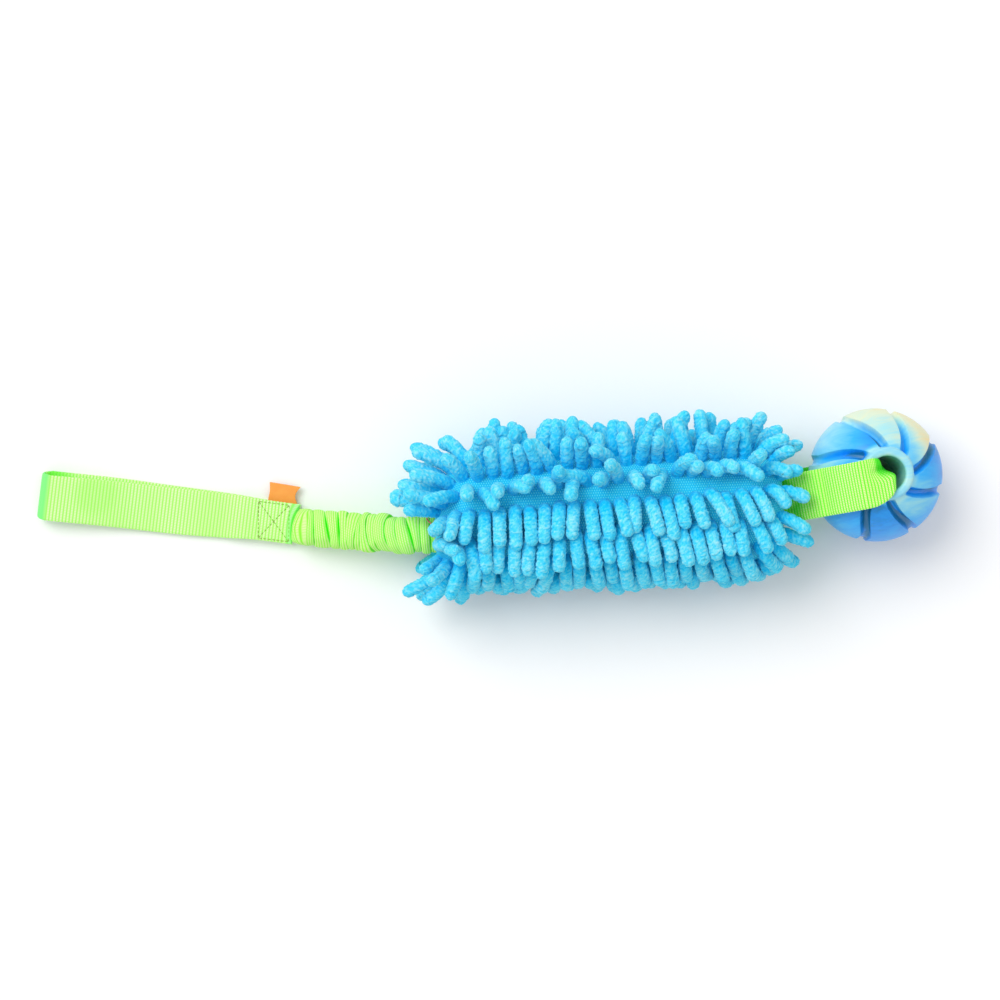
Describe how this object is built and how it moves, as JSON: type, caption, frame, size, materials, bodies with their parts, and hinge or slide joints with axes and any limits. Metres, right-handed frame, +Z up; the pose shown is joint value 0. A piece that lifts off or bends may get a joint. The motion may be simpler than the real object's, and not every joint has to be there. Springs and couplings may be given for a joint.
{
  "type": "bungee tug toy",
  "caption": "Dog tug toy: webbing hand loop, ruched elastic sleeve, chenille noodle mop body, and a grooved rubber ball captive on a webbing loop.",
  "frame": {"origin": "on the floor under the middle of the toy's box, z = 0 being what it lies on", "axes": "+X along the toy from the hand loop to the ball, +Z up, +Y to the side that the label is on"},
  "size_m": [0.4802, 0.1044, 0.0833],
  "materials": {
    "green_webbing": "woven nylon, neon yellow-green, matte with a slight sheen",
    "stitch_thread": "bonded sewing thread, olive",
    "orange_ribbon": "woven ribbon, bright orange, bare",
    "blue_chenille": "fuzzy microfibre chenille",
    "blue_knit": "fine knit, gathered",
    "blue_thread": "sewing thread",
    "white_wadding": "polyester wadding",
    "white_elastic": "braided elastic cord",
    "red_thread": "loose thread end",
    "blue_rubber": "satin moulded rubber, marbled blue with cream and yellow"
  },
  "bodies": {
    "mop": {"noodle_cover_1": "blue_chenille", "noodle_cover_2": "blue_chenille", "noodle_cover_3": "blue_chenille", "noodle_cover_4": "blue_chenille", "noodle_cover_5": "blue_chenille", "noodle_cover_6": "blue_chenille", "core_roll": "white_wadding", "through_strap": "green_webbing", "handle_end_hem": "blue_knit", "ball_end_hem": "blue_knit", "handle_end_hem_thread": "blue_thread", "ball_end_hem_thread": "blue_thread", "sleeve_tack": "red_thread"},
    "bungee": {"bungee_sleeve": "green_webbing"},
    "sleeve_end": {"elastic_cord": "white_elastic"},
    "handle": {"handle_webbing": "green_webbing", "handle_box_stitch": "stitch_thread", "label_tab": "orange_ribbon"},
    "ball_loop": {"ball_loop_webbing": "green_webbing"},
    "ball": {"ball": "blue_rubber"}
  },
  "joints": [
    {"name": "bungee_swing", "type": "hinge", "parent": "mop", "child": "bungee", "pos_m": [-0.04744, -0.0146, 0.02688], "axis": [0, 0, 1], "range_deg": [-35, 35], "deforming": ["bungee_sleeve", "elastic_cord"]},
    {"name": "bungee_stretch", "type": "slide", "parent": "bungee", "child": "sleeve_end", "axis": [-0.9974, 0.0719, 0], "range_m": [0, 0.07], "stiffness_N_per_m": 150, "deforming": ["bungee_sleeve", "elastic_cord"]},
    {"name": "handle_fold", "type": "hinge", "parent": "sleeve_end", "child": "handle", "pos_m": [-0.10434, -0.01049, 0.0033], "axis": [0.1219, 0.9925, 0], "range_deg": [0, 100], "deforming": ["bungee_sleeve"]},
    {"name": "ball_lift", "type": "hinge", "parent": "mop", "child": "ball_loop", "pos_m": [0.15496, 0.00403, 0.0376], "axis": [0.1908, -0.9816, 0], "range_deg": [0, 45], "deforming": ["ball_loop_webbing"]},
    {"name": "ball_spin", "type": "hinge", "parent": "ball_loop", "child": "ball", "pos_m": [0.20516, 0.01725, 0.0376], "axis": [0.0685, 0.0133, 0.9976], "continuous": true}
  ]
}
